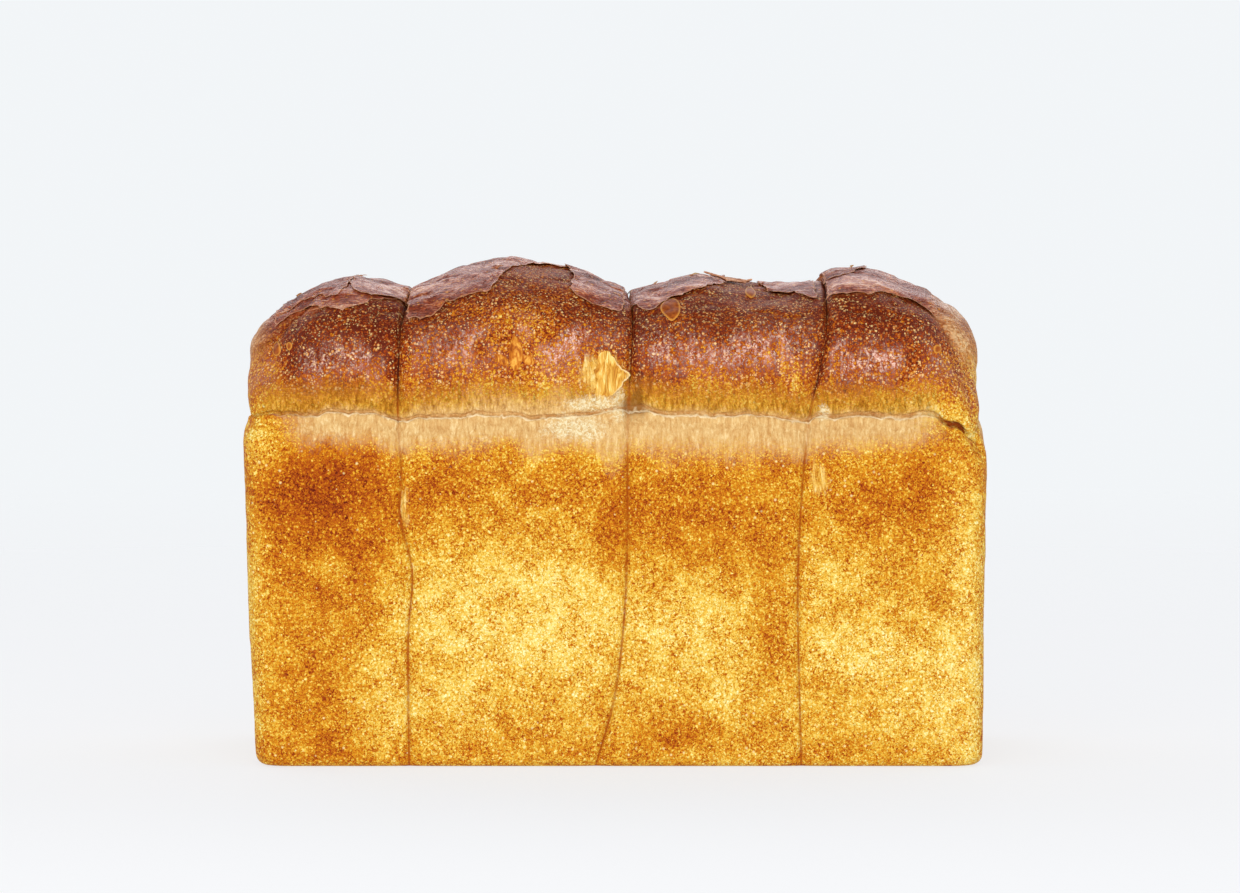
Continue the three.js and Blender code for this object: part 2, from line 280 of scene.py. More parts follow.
def wander(line, z):
    """A smooth line through (height, x) points, read at heights z."""
    heights, places = np.array(line, float).T
    last = len(heights) - 1
    i = np.searchsorted(heights[1:last], z, side="left")
    before, after, beyond = np.maximum(i - 1, 0), i + 1, np.minimum(i + 2, last)
    span = heights[after] - heights[i]
    s0 = (places[after] - places[before]) / (heights[after] - heights[before]) * span
    s1 = (places[beyond] - places[i]) / (heights[beyond] - heights[i]) * span
    t = np.clip((z - heights[i]) / span, 0, 1)
    return lerp(places[i], places[after], t * t * (3 - 2 * t)) + t * (1 - t) * ((1 - t) * s0 - t * s1)


def seam_x(k, z, v):
    """Where seam k runs at height z, from the front (v = -1) to the back (v = 1)."""
    top = SEAM_LINES[k][-1][1]
    at_front = wander(SEAM_LINES[k], z)
    at_back = top + BACK_STRAY * (at_front - top)
    return lerp(at_front, at_back, (v + 1) / 2) + BOWS[k] * (1 - v * v)


def arch(v):
    return np.maximum(1 - np.abs(v) ** CROWN_ARCH, 0) ** (1 / CROWN_ARCH)


def gaping(x, y):
    """1 at the two upright corners where the crease tore open and sagged, 0 away from them."""
    corner = smooth(np.abs(x), GAPE_FROM[0], LENGTH / 2) * smooth(np.abs(y), GAPE_FROM[1], DEPTH / 2)
    return corner * np.where(x * y < 0, 1, SHUT_GAPE)


def crease_height(x, y):
    """Height of the crease at the rim, which ripples and drops at two of the upright corners."""
    ripple = 0.9 * np.sin(x / 17 + 1.2) + 0.6 * np.sin(x / 6.3 + y) + 0.8 * np.sin(y / 14 + 2)
    return RIM + ripple - CORNER_DROP * gaping(x, y)


def fine_crease(x, y):
    """The small scallops of the crease, where the skin tore free of the tin."""
    along = np.stack([x, y, 0 * x], axis=1)
    return 0.8 * noise(along, 5.1) + 0.5 * noise(along, 2.6)


def wall_inset(z, crease):
    inset = TAPER * np.clip(1 - z / RIM, 0, 1)
    foot = np.clip(FOOT_RADIUS - z, 0, FOOT_RADIUS)
    inset += FOOT_RADIUS - np.sqrt(FOOT_RADIUS**2 - foot**2)
    above = z - crease
    shoulder = CREASE_DEPTH * np.clip(1 + above / SHOULDER, 0, 1) ** SHOULDER_BEND
    tuck = lerp(CREASE_DEPTH, BELLY_INSET, np.sin(np.clip(above / TUCK, 0, 1) * math.pi / 2))
    return inset + np.where(above < 0, shoulder, tuck)


def form_loaf(ball, share, v, z, on_top):
    """The loaf's surface, how near each point is to a seam, how high above the crease, and how far the
    crease gapes there. `share` runs along one ball, v across the loaf, z up its walls."""
    firm = 1 - smooth(z, RIM, BELLY)
    along = lerp(-LENGTH / 2, LENGTH / 2, (ball + share) / len(CREST_X))
    crease = crease_height(along, v * DEPTH / 2) + fine_crease(along, v * DEPTH / 2)
    height = z + (crease - RIM) * (1 - smooth(np.abs(z - RIM), 4, TUCK))
    inset = wall_inset(height, crease)
    bulge = CROWN_BULGE * (1 - firm)
    hx = LENGTH / 2 - inset - bulge * v * v
    saddle = lerp(BELLY, VALLEYS[:, None], arch(v))
    seams = np.array([np.where(on_top, seam_x(k, saddle[k], v), seam_x(k, height, v)) for k in range(3)])
    edges = np.vstack([-hx, seams, hx])
    every = np.arange(len(v))
    start, end = edges[ball, every], edges[ball + 1, every]
    straight = lerp(start, end, share)
    near = np.abs(straight - seams).min(axis=0)
    turn = lerp(TURN_IN[1], TURN_IN[0], firm) * np.exp(-near / lerp(TURN_REACH[1], TURN_REACH[0], firm))
    hy = DEPTH / 2 - inset - turn - bulge * (2 * share - 1) ** 2
    radius = lerp(CROWN_CORNER, BLOCK_CORNER, firm)
    inner_x = np.clip(straight, radius - hx, hx - radius)
    inner_y = np.clip(v * hy, radius - hy, hy - radius)
    out_x, out_y = straight - inner_x, v * hy - inner_y
    reach = np.maximum(np.hypot(out_x, out_y), 1e-9)
    rounding = np.maximum(np.abs(out_x), np.abs(out_y)) / reach
    x, y = inner_x + out_x * rounding, inner_y + out_y * rounding
    left = straight < CREST_X[ball]
    crest = CREST_X[ball]
    rise = np.where(left, (straight - start) / (crest - start), (end - straight) / (end - crest))
    rise = np.clip(rise, 0, 1)
    at_end = np.where(left, ball == 0, ball == 3)
    valley = VALLEYS[np.clip(np.where(left, ball - 1, ball), 0, 2)]
    rolled = lerp(BELLY, CREST_Z[ball], np.sqrt(1 - (1 - rise) ** END_ROLL))
    ridge = np.where(at_end, rolled, lerp(valley, CREST_Z[ball], np.sin(rise**FLANK * math.pi / 2)))
    top = lerp(BELLY, ridge, arch(v))
    level = np.where(on_top, top, height)
    lean = LEAN * np.clip(1 - z / RIM, 0, 1)
    gape = gaping(along, v * DEPTH / 2)
    return np.stack([np.where(on_top, x, x + lean), y, level], axis=1), near, level - crease, gape


def crowd(n):
    """n + 1 places from 0 to 1 that crowd towards both ends."""
    return (1 - np.cos(math.pi * np.arange(n + 1) / n)) / 2


def climb(low, high, n, bend=1):
    """n heights above low, up to and including high. A bend over 1 crowds them towards low."""
    return lerp(low, high, (np.arange(1, n + 1) / n) ** bend)


# The block of dough, and the net: its long, short and upright edges are each cut twice.
bpy.ops.object.select_all(action="DESELECT")
bpy.ops.mesh.primitive_cube_add(size=2)
bread = bpy.context.object
bread.name = "loaf_crust"


def read_points(piece):
    places = np.empty(len(piece.data.vertices) * 3)
    piece.data.vertices.foreach_get("co", places)
    return places.reshape(-1, 3)


def write_points(piece, places):
    piece.data.vertices.foreach_set("co", places.ravel())
    piece.data.update()


def select_none(kind):
    """Leaves nothing selected, so that edges or faces can be selected in code."""
    bpy.ops.object.mode_set(mode="EDIT")
    bpy.ops.mesh.select_mode(type=kind)
    bpy.ops.mesh.select_all(action="DESELECT")
    bpy.ops.object.mode_set(mode="OBJECT")


def cut_edges(piece, axis, cuts):
    """Cuts every edge that runs along one axis into cuts[0] * cuts[1] equal lengths."""
    for parts in cuts:
        select_none("EDGE")
        edges = piece.data.edges
        ends = np.empty(len(edges) * 2, int)
        edges.foreach_get("vertices", ends)
        runs = read_points(piece)[ends.reshape(-1, 2)]
        along = np.abs(runs[:, 1] - runs[:, 0])
        edges.foreach_set("select", along.argmax(axis=1) == axis)
        bpy.ops.object.mode_set(mode="EDIT")
        bpy.ops.mesh.subdivide(number_cuts=parts - 1)
        bpy.ops.object.mode_set(mode="OBJECT")


cut_edges(bread, 0, COLUMN_CUTS)
cut_edges(bread, 1, DEPTH_CUTS)
cut_edges(bread, 2, ROW_CUTS)

# Where each column, depth and row of the net belongs. The columns crowd towards the seams and the ends.
shares = []
balls = []
for ball, count in enumerate(BALL_COLUMNS):
    even = np.linspace(0, 1, count + 1)
    crowding = lerp(1.0 if ball == 0 else 0.5, 1.0 if ball == 3 else 0.5, even)
    places_along = lerp(even, crowd(count), crowding)
    first = 0 if ball == 0 else 1
    shares.extend(places_along[first:])
    balls.extend([ball] * (count + 1 - first))
shares, balls = np.array(shares), np.array(balls)
depths = 2 * crowd(DEPTH_CUTS[0] * DEPTH_CUTS[1]) - 1
rows = np.concatenate([
    [0],
    climb(0, FOOT_RADIUS, 6, 1.6),
    climb(FOOT_RADIUS, RIM - SHOULDER, 64),
    climb(RIM - SHOULDER, RIM, 16, 0.7),
    climb(RIM, RIM + TUCK / 2, 14, 1.4),
    climb(RIM + TUCK / 2, BELLY, 8),
])
net = read_points(bread)
steps = [len(shares) - 1, len(depths) - 1, len(rows) - 1]
column, depth, row = np.rint((net + 1) / 2 * steps).astype(int).T
walls = (np.abs(net[:, 0]) > 0.9999) | (np.abs(net[:, 1]) > 0.9999)
base = row == 0
on_top = (row == len(rows) - 1) & ~walls
ball, share, v, z = balls[column], shares[column], depths[depth], rows[row]
shape, near, above, gape = form_loaf(ball, share, v, z, on_top)
shape[base, 2] = 0
write_points(bread, shape * mm)


def edit_all(operator, **settings):
    """Runs one edit mode operator on all of the piece."""
    bpy.ops.object.mode_set(mode="EDIT")
    bpy.ops.mesh.select_all(action="SELECT")
    operator(**settings)
    bpy.ops.object.mode_set(mode="OBJECT")


edit_all(bpy.ops.mesh.normals_make_consistent, inside=False)

# The relief, in mm: soft lumps, crumples, folds under the crests, fibres at the crease, cracks above it.
outward = np.empty(shape.size)
bread.data.vertex_normals.foreach_get("vector", outward)
outward = outward.reshape(-1, 3)
p = shape
px, py, pz = p.T
free = smooth(pz, RIM, BELLY)
relief = sum(lerp(low, high, free) * noise(p + start, size) for low, high, size, start in SOFT_RELIEF)
relief += lerp(0.1, 0.22, free) * (1 - 2 * np.abs(noise(p + 50, 6.5)))
relief -= FOLD_DEPTH * smooth(pz, 140, 154) * winding_lines(p + 31, (9, 14, 9), 7)
relief += FIBRE_DEPTH * bell(above, 2, 9) * noise(p, (1.8, 1.8, 14))
relief -= CRACK_DEPTH * bell(above, 18, 9) * winding_lines(p + 77, (5, 5, 8), 6)

# The seams: a wide groove with a narrow one in it. The crowns press together below their crests.
groove = lerp(0.5, 0.4, free) * np.exp(-near / 1.0) + lerp(0.25, 1.7, free) * np.exp(-near / 0.35)
seam_open = SEAM_OPEN[np.digitize(px, (-35, 38))]
seam_open = lerp(1, seam_open, free * (1 - smooth(pz, 146, 156)))
relief -= groove * seam_open

# The crease: a raised lip, and above it a notch that closes at the corner where the skin tore off.
torn_corner = smooth(np.abs(px), 117, 121) * smooth(-px * py, 0, 2000)
lip = (0.75 + 0.45 * noise(p, 5)) * bell(above, -1.0, 0.9) * (1 - 0.6 * gape)
notch = (0.9 + 0.5 * noise(p, 13) + 1.2 * gape) * bell(above, 0.45, 0.45 + 0.25 * gape)
relief += lip - notch * (1 - 0.85 * torn_corner)

x, z, wide, high, sunk = DENT
relief -= sunk * bell(px, x, wide) * bell(pz, z, high) * (py < 0)
z, high, sunk = WAIST
relief -= sunk * smooth(px, 112, 121) * bell(pz, z, high)
for x, wide, rise in CREST_LUMPS:
    relief += rise * smooth(pz, 146, 160) * bell(px, x, wide)
p = p + outward * (smooth(pz, 0, FOOT_RADIUS) * relief)[:, None]
low, high = p.min(axis=0), p.max(axis=0)
p -= [(low[0] + high[0]) / 2, (low[1] + high[1]) / 2, low[2]]
px, py, pz = p.T
write_points(bread, p * mm)
bpy.ops.object.shade_smooth()

# How far each place was baked, from 0 for pale dough to 1 for dark brown skin.
BLOCK_HEIGHTS = (0, 10, 25, 45, 60, 75, 88, 98, 106)
ON_BLOCK = (0.4, 0.37, 0.32, 0.29, 0.31, 0.38, 0.45, 0.47, 0.45)
ABOVE_CREASE = (0, 3, 7, 12, 18, 25, 33, 45)
ON_CROWNS = (0.32, 0.38, 0.51, 0.66, 0.78, 0.86, 0.9, 0.9)
BALL_BAKE = np.array([0.06, -0.05, 0.02, 0.03])
on_block = np.interp(pz, BLOCK_HEIGHTS, ON_BLOCK)
bake = np.where(above < 0, on_block, np.interp(above, ABOVE_CREASE, ON_CROWNS))
bake += 0.05 * noise(p, 17) + 0.03 * noise(p, 7) + free * (BALL_BAKE[ball] + 0.05 * noise(p + 70, 11))
# The crowns turn lighter towards the loaf's ends: partly thinner skin, partly painted sheen.
at_ends = smooth(np.abs(px), 105, 119)
bake += at_ends * np.where(above < 0, 0.01 * smooth(np.abs(py), 38, 55), -0.25 * free)
bake += 0.09 * free * np.exp(-near / 14) - 0.2 * free * smooth(px, 115, 123)

# Where the tin was hotter or cooler, and lighter or darker spots on the crowns: [x, z, reach in x, reach in
# z, change of bake] on the front wall. The lighter spot at (-32, 146) is painted sheen on the second
# crown's belly.
HOT_SPOTS = (
    (-96, 60, 24, 70, 0.17), (-105, 97, 20, 12, 0.05), (-79, 22, 12, 22, -0.1), (-95, 67, 9, 3.5, -0.12),
    (-33, 52, 28, 24, -0.06), (1, 80, 8, 18, 0.12), (-60, 92, 10, 6, 0.06), (-28, 128, 12, 8, -0.1),
    (30, 80, 25, 14, 0.1), (27, 45, 18, 12, -0.04), (53, 50, 8, 25, 0.12), (22, 12, 16, 8, 0.12),
    (98, 63, 9, 6, 0.1), (110, 58, 5, 8, 0.08), (82, 38, 20, 8, -0.08), (118, 85, 7, 30, -0.09),
    (117, 20, 10, 25, -0.1), (122, 116, 5, 9, -0.12), (95, 86, 16, 12, 0.08), (35, 128, 14, 6, -0.08),
    (-117, 108, 12, 10, -0.15), (8, 128.5, 1.4, 6, 0.3), (11.8, 127.5, 1.2, 5, 0.3),
    (104, 121, 14, 8, -0.12), (-32, 146, 15, 9, -0.2), (82, 130, 9, 7, 0.06), (-104, 140, 11, 8, 0.1),
    (-57, 142, 6, 6, 0.06), (16, 144, 8, 4, 0.06), (61, 131, 6, 6, -0.1), (56, 139, 1.3, 8, -0.25),
    (60, 131, 1.2, 7, -0.2), (51, 139, 1.4, 6, -0.2), (21, 137, 1.2, 6, 0.12), (-66, 131, 4, 6, -0.1),
    (-88, 131, 5, 4, -0.08), (-20, 131, 12, 5, -0.06), (101, 15, 11, 12, -0.09),
)
# Smooth stretched skin, torn crumb and painted shade in a dent: [x, z, reach in x, reach in z] on the front
# wall.
STRETCHED = ((-4.5, 131.5, 7, 7.5), (68.3, 97, 2, 6), (-69.3, 87, 1.6, 6))
TORN = ((-13, 113.5, 11, 4.5), (-8, 121.5, 9, 3), (1.6, 122, 2.6, 6.5), (69.5, 119, 2.2, 3))
DENT_SHADE_SPOTS = ((6.4, 120.4, 4.6, 4), (8.5, 123, 2.4, 5))
front = smooth(-outward[:, 1], 0.3, 0.8)


def spot(places, x, z, wide, high):
    """1 within reach of (x, z), with a soft edge."""
    spread = ((places[:, 0] - x) / wide) ** 2 + ((places[:, 2] - z) / high) ** 2
    return np.exp(-spread * spread)


for *reach, change in HOT_SPOTS:
    bake += front * change * spot(p, *reach)


def spots(reaches):
    """1 inside any of the spots on the front wall, with wavy edges."""
    wavy = p + 1.6 * np.stack([noise(p + 5, 4), 0 * near, noise(p + 25, 4)], axis=1)
    return front * np.max([spot(wavy, *reach) for reach in reaches], axis=0)


# How far the pale band spreads below the crease, and above it along the loaf.
PALE_X = (-125, -75, -62, -45, -18, 0, 8, 125)
PALE_ABOVE = (1.5, 1.5, 3.0, 5.0, 6.5, 5.0, 1.5, 1.5)
depth_below = 10.5 + 3 * smooth(px, 0, 14) * (1 - smooth(px, 62, 78)) + 2.5 * noise(p, 9)
depth_below += 7 * front * bell(px, -0.5, 5)
depth_below = np.clip(-above, 0, 99) / depth_below
height_above = np.clip(above, 0, 99) / (np.interp(px, PALE_X, PALE_ABOVE) * (1 + 0.4 * noise(p, 6)))
pale = np.exp(-(depth_below**3)) * np.exp(-height_above)
pale *= 1 - smooth(np.abs(px) + 4 * noise(p, 8), 94, 118) * smooth(np.abs(py), 40, 54)

# The dried skin starts above this line on the crowns, given as [x, z].
DRY_LINE = (
    (-126, 132), (-120, 134), (-115, 143), (-110, 150), (-97, 154), (-84, 157), (-71, 157), (-66, 153),
    (-57, 157), (-46, 160), (-41, 162), (-37, 167), (-31, 170), (-22, 170), (-16, 168), (-12, 161),
    (-8, 156), (-2, 154), (6, 154), (20, 159), (27, 163), (34, 169), (44, 171), (54, 169), (60, 161),
    (71, 157), (84, 160), (95, 160), (104, 154), (110, 149), (115, 141), (119, 133), (126, 130),
)
line_x, line_z = np.array(DRY_LINE, float).T
dry_edge = np.interp(px, line_x, line_z) + 1.5 * noise(p, 12)
dry_edge += smooth(np.abs(px), 116, 124) * (14 * (py / 58) ** 2 - 2 + 5 * noise(p + 3, 19))
dry = smooth((pz - dry_edge) / (1.5 + 5 * at_ends), -1, 1)

# The glossy patches on the crowns' bellies, where the coat is glossier and a painted pinkish sheen is mixed
# into the colour: how strong they are along the loaf.
GLOSS_X = (-120, -108, -95, -76, -70, -62, -56, -44, -36, -20, -6, 4, 15, 55, 68, 76, 100, 110, 120)
GLOSS = (0.2, 0.3, 0.9, 1.1, 0.3, 0.4, 0.5, 1.4, 1.1, 1.7, 0.3, 0.2, 0.7, 1.0, 0.2, 1.1, 1.0, 0.3, 0.2)
GLOSS_ABOVE = np.array([17, 24, 22, 19])
belly = bell(above, GLOSS_ABOVE[ball] + 3 * noise(p, 30), 6.5) * (1 - dry) * smooth(near, 0.5, 4)
belly *= np.interp(px, GLOSS_X, GLOSS)
belly *= smooth(noise(p + 90, (9, 9, 16)) + 0.5 * noise(p + 30, 5), -0.6, 0.2)


def tan_and_painted_sheen_share(x):
    """How far the dried skin has faded to tan, which is partly painted sheen where the crowns turn away:
    most at the right end.
    """
    return smooth(x, 103, 119) + 0.9 * smooth(-x, 114, 122)


def write_mask(piece, name, values):
    mask = piece.data.attributes.new(name, "FLOAT", "POINT")
    mask.data.foreach_set("value", values)


zones = {
    "bake": bake, "pale": pale, "crown": smooth(above, 3, 12), "dry": dry, "belly": belly,
    "stretched": spots(STRETCHED), "torn": spots(TORN), "dent_shade": spots(DENT_SHADE_SPOTS),
    "gape": np.clip(2.4 * gape, 0, 1) * (1 - torn_corner), "ends": tan_and_painted_sheen_share(px),
}
zones = {name: np.clip(values, 0, 1) for name, values in zones.items()}
zones["near"] = near / seam_open
zones["above"] = above + 8 * torn_corner * (above > -1.5)
for name, values in zones.items():
    write_mask(bread, name, values)


def tone(red, green, blue):
    """A colour given as on a paint card, from 0 to 255, for a shader."""
    shares = [part / 255 for part in (red, green, blue)]
    return [s / 12.92 if s < 0.04 else ((s + 0.055) / 1.055) ** 2.4 for s in shares] + [1]


def colour_ramp(tree, value, *stops):
    """A colour for each value. A stop is a value and the three parts of its tone."""
    made = add_node(tree, "ShaderNodeValToRGB", {"Fac": value})
    elements = made.color_ramp.elements
    while len(elements) < len(stops):
        elements.new(1)
    for element, (place, *colour) in zip(elements, stops):
        element.position = place
        element.color = tone(*colour)
    return made.outputs["Color"]


def read_mask(tree, name):
    return add_node(tree, "ShaderNodeAttribute", attribute_name=name).outputs["Fac"]


def add_bump(tree, surface, height, distance):
    """Raises the fine grain of a surface and of the gloss on it."""
    bump = add_node(tree, "ShaderNodeBump", {"Height": height, "Distance": distance, "Strength": 1.0})
    set_inputs(tree, surface, {"Normal": bump.outputs["Normal"], "Coat Normal": bump.outputs["Normal"]})


def finish(tree, skin, colour, roughness=0.5, shine=0.1, coat=0, coat_roughness=0):
    set_inputs(tree, skin, {
        "Base Color": colour, "Roughness": roughness, "Specular IOR Level": shine, "Coat Weight": coat,
        "Coat Roughness": coat_roughness,
    })


def specks(tree, place, scale, reach, share):
    """Round specks in the cells of a Voronoi pattern: `share` of the cells hold one."""
    cells = add_node(tree, "ShaderNodeTexVoronoi", {"Vector": place, "Scale": scale})
    draw = add_node(tree, "ShaderNodeSeparateColor", {"Color": cells.outputs["Color"]})
    size = maths(tree, "MULTIPLY_ADD", draw.outputs["Green"], reach * 0.6, reach * 0.4)
    inside = blend(tree, maths(tree, "DIVIDE", cells.outputs["Distance"], size), 1.0, 0.45)
    return times(tree, inside, blend(tree, draw.outputs["Red"], share + 0.03, share - 0.03))


def cloud(tree, place, scale, detail=2.0, roughness=0.5, distortion=0.0):
    """Noise from 0 to 1, about 0.5 on average."""
    return add_node(tree, "ShaderNodeTexNoise", {
        "Vector": place, "Scale": scale, "Detail": detail, "Roughness": roughness, "Distortion": distortion,
    }).outputs["Fac"]


def offset(tree, value, amount, total):
    """total + amount * (value - 0.5)"""
    return maths(tree, "MULTIPLY_ADD", maths(tree, "SUBTRACT", value, 0.5), amount, total)


def dry_skin_colour(tree, place):
    """Red brown skin with fine drawn folds and a few golden specks, fading to tan at the loaf's ends,
    partly as painted sheen. Also gives its height for bumps and its gloss, which is highest on the crests."""
    drawn = stretch(tree, place, (0.45, 1, 1.3), (0.3, 0.5, 0.35))
    fibre = cloud(tree, drawn, 900, 3, 0.65, 0.8)
    folds = cloud(tree, drawn, 130, 3, 0.6, 1.6)
    broad = cloud(tree, drawn, 60, 2, 0.5, 1.0)
    shade = offset(tree, broad, 1.2, offset(tree, folds, 0.8, offset(tree, fibre, 1.8, 0.47)))
    brown = colour_ramp(
        tree, shade, (0.1, 92, 30, 12), (0.4, 138, 54, 22), (0.55, 164, 76, 36), (0.72, 196, 112, 64),
        (0.9, 222, 160, 116),
    )
    tan_and_sheen = colour_ramp(
        tree, shade, (0.15, 156, 84, 30), (0.4, 190, 122, 60), (0.56, 210, 150, 88), (0.8, 234, 196, 142),
    )
    gold = times(tree, specks(tree, place, 620, 0.5, 0.45), 0.9)
    colour = mix_colour(tree, read_mask(tree, "ends"), brown, tan_and_sheen)
    facing = add_node(tree, "ShaderNodeNewGeometry").outputs["Normal"]
    upward = add_node(tree, "ShaderNodeSeparateXYZ", {"Vector": facing}).outputs["Z"]
    gloss = times(tree, blend(tree, upward, 0.6, 0.97, 0.15, 0.9), blend(tree, shade, 0.25, 0.75, 0.2, 1.0))
    return mix_colour(tree, gold, colour, tone(210, 132, 44)), shade, gloss


crust, tree, skin, place = new_material("baked crust")
masks = {name: read_mask(tree, name) for name in zones}


def by_crown(on_block, on_crowns):
    return blend(tree, masks["crown"], 0, 1, on_block, on_crowns)


pebble = cloud(tree, place, 1150, 2, 0.6, 0.9)
patches = cloud(tree, place, 120, 3, 0.5)
streaks = cloud(tree, stretch(tree, place, (1, 1, 0.22)), 900, 3, 0.65, 0.6)
dapple = cloud(tree, place, 330, 2, 0.5, 0.5)
ridge = maths(tree, "ABSOLUTE", maths(tree, "SUBTRACT", cloud(tree, place, 600, 1, 0.5, 1.0), 0.5))
worms = times(tree, blend(tree, ridge, 0.05, 0.015), blend(tree, patches, 0.4, 0.55, 0.2, 1.0))
bright = maths(tree, "MAXIMUM", specks(tree, place, 850, 0.55, 0.75), specks(tree, place, 1500, 0.5, 0.6))
pits = specks(tree, place, 1050, 0.5, 0.5)

baked = offset(tree, patches, 0.25, masks["bake"])
baked = offset(tree, dapple, by_crown(0.15, 0.3), baked)
baked = offset(tree, pebble, blend(tree, masks["above"], 4, 22, 0.9, 2.0), baked)
low_streaks = times(tree, masks["crown"], blend(tree, masks["above"], 24, 8, 0, 1.3))
baked = offset(tree, streaks, low_streaks, baked)
for marks, on_block, on_crowns in ((worms, 0.26, 0.10), (pits, 0.18, 0.18), (bright, -0.2, -0.14)):
    baked = maths(tree, "MULTIPLY_ADD", marks, by_crown(on_block, on_crowns), baked)
crust_colour = colour_ramp(  # from pale dough to dark skin
    tree, baked, (0.0, 246, 234, 174), (0.13, 238, 214, 124), (0.27, 228, 188, 74), (0.4, 210, 148, 32),
    (0.5, 196, 118, 18), (0.6, 180, 94, 14), (0.7, 160, 72, 12), (0.8, 146, 55, 12), (0.9, 122, 41, 12),
    (1.0, 94, 29, 10),
)
speck_colour = colour_ramp(tree, pebble, (0.38, 212, 126, 40), (0.58, 255, 222, 150))
speckled = times(tree, bright, blend(tree, dapple, 0.38, 0.62, 0.15, 1.0), by_crown(0.0, 0.95))
colour = mix_colour(tree, speckled, crust_colour, speck_colour)
flecks = times(tree, specks(tree, place, 430, 0.26, 0.3), by_crown(0.7, 0.0))
colour = mix_colour(tree, flecks, colour, tone(248, 226, 160))
# Painted sheen: on the bellies a pale pink reflection is mixed into the colour, besides the real gloss of
# the coat set below.
painted_sheen_and_gloss = times(
    tree, masks["belly"], blend(tree, offset(tree, streaks, 1.0, pebble), 0.4, 0.62),
    blend(tree, dapple, 0.38, 0.52, 0.25, 1.0),
)
painted_sheen_colour = colour_ramp(tree, pebble, (0.4, 200, 116, 88), (0.64, 246, 204, 184))
colour = mix_colour(tree, times(tree, painted_sheen_and_gloss, 0.85), colour, painted_sheen_colour)
dry_colour, dry_height, dry_gloss = dry_skin_colour(tree, place)
colour = mix_colour(tree, masks["dry"], colour, dry_colour)

# The tucked underside of the crowns has pulled upright fibres, with painted shade from the overhanging
# crown: olive above and paler at the crease.
tuck_shade_colour = colour_ramp(
    tree, streaks, (0.32, 118, 70, 12), (0.45, 162, 106, 24), (0.56, 196, 140, 46), (0.7, 222, 178, 90),
)
tuck_painted_shade = times(
    tree, blend(tree, masks["above"], 0.0, 0.5),
    blend(tree, offset(tree, streaks, 16.0, masks["above"]), 13.0, 3.0),
    blend(tree, masks["gape"], 0, 1, 0.8, 0.1), blend(tree, masks["ends"], 0.1, 0.6, 1, 0.15),
)
colour = mix_colour(tree, tuck_painted_shade, colour, tuck_shade_colour)

# The band under the crease never touched the tin: pale, smooth and creased.
band_colour = colour_ramp(
    tree, offset(tree, pebble, 0.3, streaks),
    (0.3, 186, 138, 80), (0.45, 202, 158, 98), (0.57, 212, 174, 114), (0.72, 228, 198, 144),
)
paleness = offset(tree, pebble, 0.6, offset(tree, streaks, 0.3, masks["pale"]))
colour = mix_colour(tree, blend(tree, paleness, 0.15, 0.85), colour, band_colour)


def patch(name, grain, raggedness, full, most):
    """How far a patch of the front wall covers the crust, with a ragged edge."""
    ragged_mask = offset(tree, grain, raggedness, masks[name])
    return times(tree, blend(tree, ragged_mask, *full, 0, most), blend(tree, masks[name], 0, 0.2))


stretch_colour = colour_ramp(
    tree, streaks, (0.3, 184, 118, 30), (0.45, 214, 160, 62), (0.57, 232, 190, 96), (0.7, 250, 226, 156),
)
crumb_colour = colour_ramp(tree, pebble, (0.3, 186, 148, 96), (0.45, 210, 186, 138), (0.6, 230, 220, 182))
colour = mix_colour(tree, patch("stretched", streaks, 2.2, (0.15, 0.95), 0.85), colour, stretch_colour)
colour = mix_colour(tree, patch("torn", pebble, 1.6, (0.2, 1.1), 0.8), colour, crumb_colour)
# Painted shade: dark olive brown in the dent beside the second seam.
colour = mix_colour(tree, patch("dent_shade", streaks, 1.4, (0.2, 0.9), 0.75), colour, tone(130, 80, 22))


def broken_line(distance, wide, *fades):
    """A line where the distance is near 0, faded by each of the fades."""
    across = maths(tree, "DIVIDE", maths(tree, "ABSOLUTE", distance), wide)
    return times(tree, blend(tree, across, 1.0, 0.2), *fades)


# Thin broken lines: a painted highlight on the lip and painted shade over it at the crease, redder and
# darker where the crease gapes, and the seams between the balls.
ragged_above = offset(tree, dapple, 2.4, masks["above"])
lip_highlight = broken_line(maths(tree, "ADD", ragged_above, 0.55), 0.5, masks["pale"], 0.6)
colour = mix_colour(tree, lip_highlight, colour, tone(252, 236, 196))
crease_shade_line = broken_line(
    maths(tree, "SUBTRACT", ragged_above, 0.35), maths(tree, "MULTIPLY_ADD", masks["gape"], 0.7, 0.5),
    blend(tree, masks["gape"], 0, 1, 0.55, 0.95),
    maths(tree, "MAXIMUM", masks["gape"], blend(tree, patches, 0.35, 0.6, 0.3, 1.0)),
)
crease_shade_colour = mix_colour(tree, masks["gape"], tone(156, 88, 32), tone(132, 48, 10))
colour = mix_colour(tree, crease_shade_line, colour, crease_shade_colour)
# The seam line is the seam's own brown on the block; on the crowns it is near black, painted shade in the
# groove between them.
across_seam = maths(tree, "DIVIDE", offset(tree, pebble, 0.8, masks["near"]), by_crown(0.5, 0.4))
seam_line_and_shade = times(
    tree, blend(tree, across_seam, 1.0, 0.3), blend(tree, patches, 0.35, 0.6, 0.6, 1.0),
    blend(tree, masks["pale"], 0, 1, 1.0, 0.3), 0.9,
)
seam_and_shade_colour = mix_colour(tree, masks["crown"], tone(164, 76, 12), tone(62, 22, 8))
colour = mix_colour(tree, seam_line_and_shade, colour, seam_and_shade_colour)

